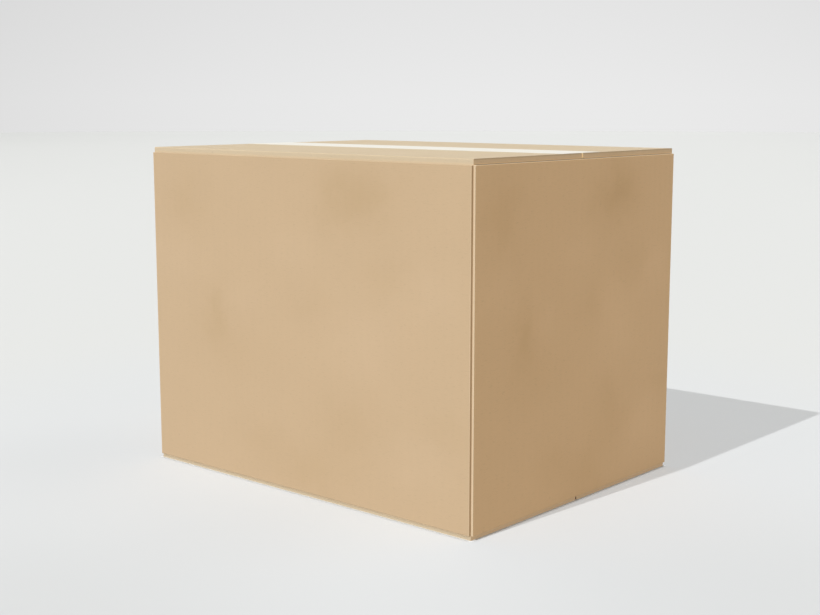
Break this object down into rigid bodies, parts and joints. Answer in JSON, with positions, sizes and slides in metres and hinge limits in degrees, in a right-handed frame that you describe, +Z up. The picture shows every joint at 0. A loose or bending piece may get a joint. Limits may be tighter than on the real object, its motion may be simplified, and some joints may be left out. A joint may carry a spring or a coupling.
{
  "type": "closed cardboard box",
  "caption": "Closed corrugated cardboard shipping box, with outer flaps that meet along a taped seam on top and underneath.",
  "frame": {"origin": "middle of the box's underside, on the surface that it stands on", "axes": "+Z up, +X along the long panels and the taped seam, -Y out of a long panel"},
  "size_m": [0.344, 0.263, 0.2674],
  "materials": {
    "board": "matte",
    "tape": "satin"
  },
  "bodies": {
    "root": {"carton": "board", "top_tape": "tape", "bottom_tape": "tape"}
  },
  "joints": []
}
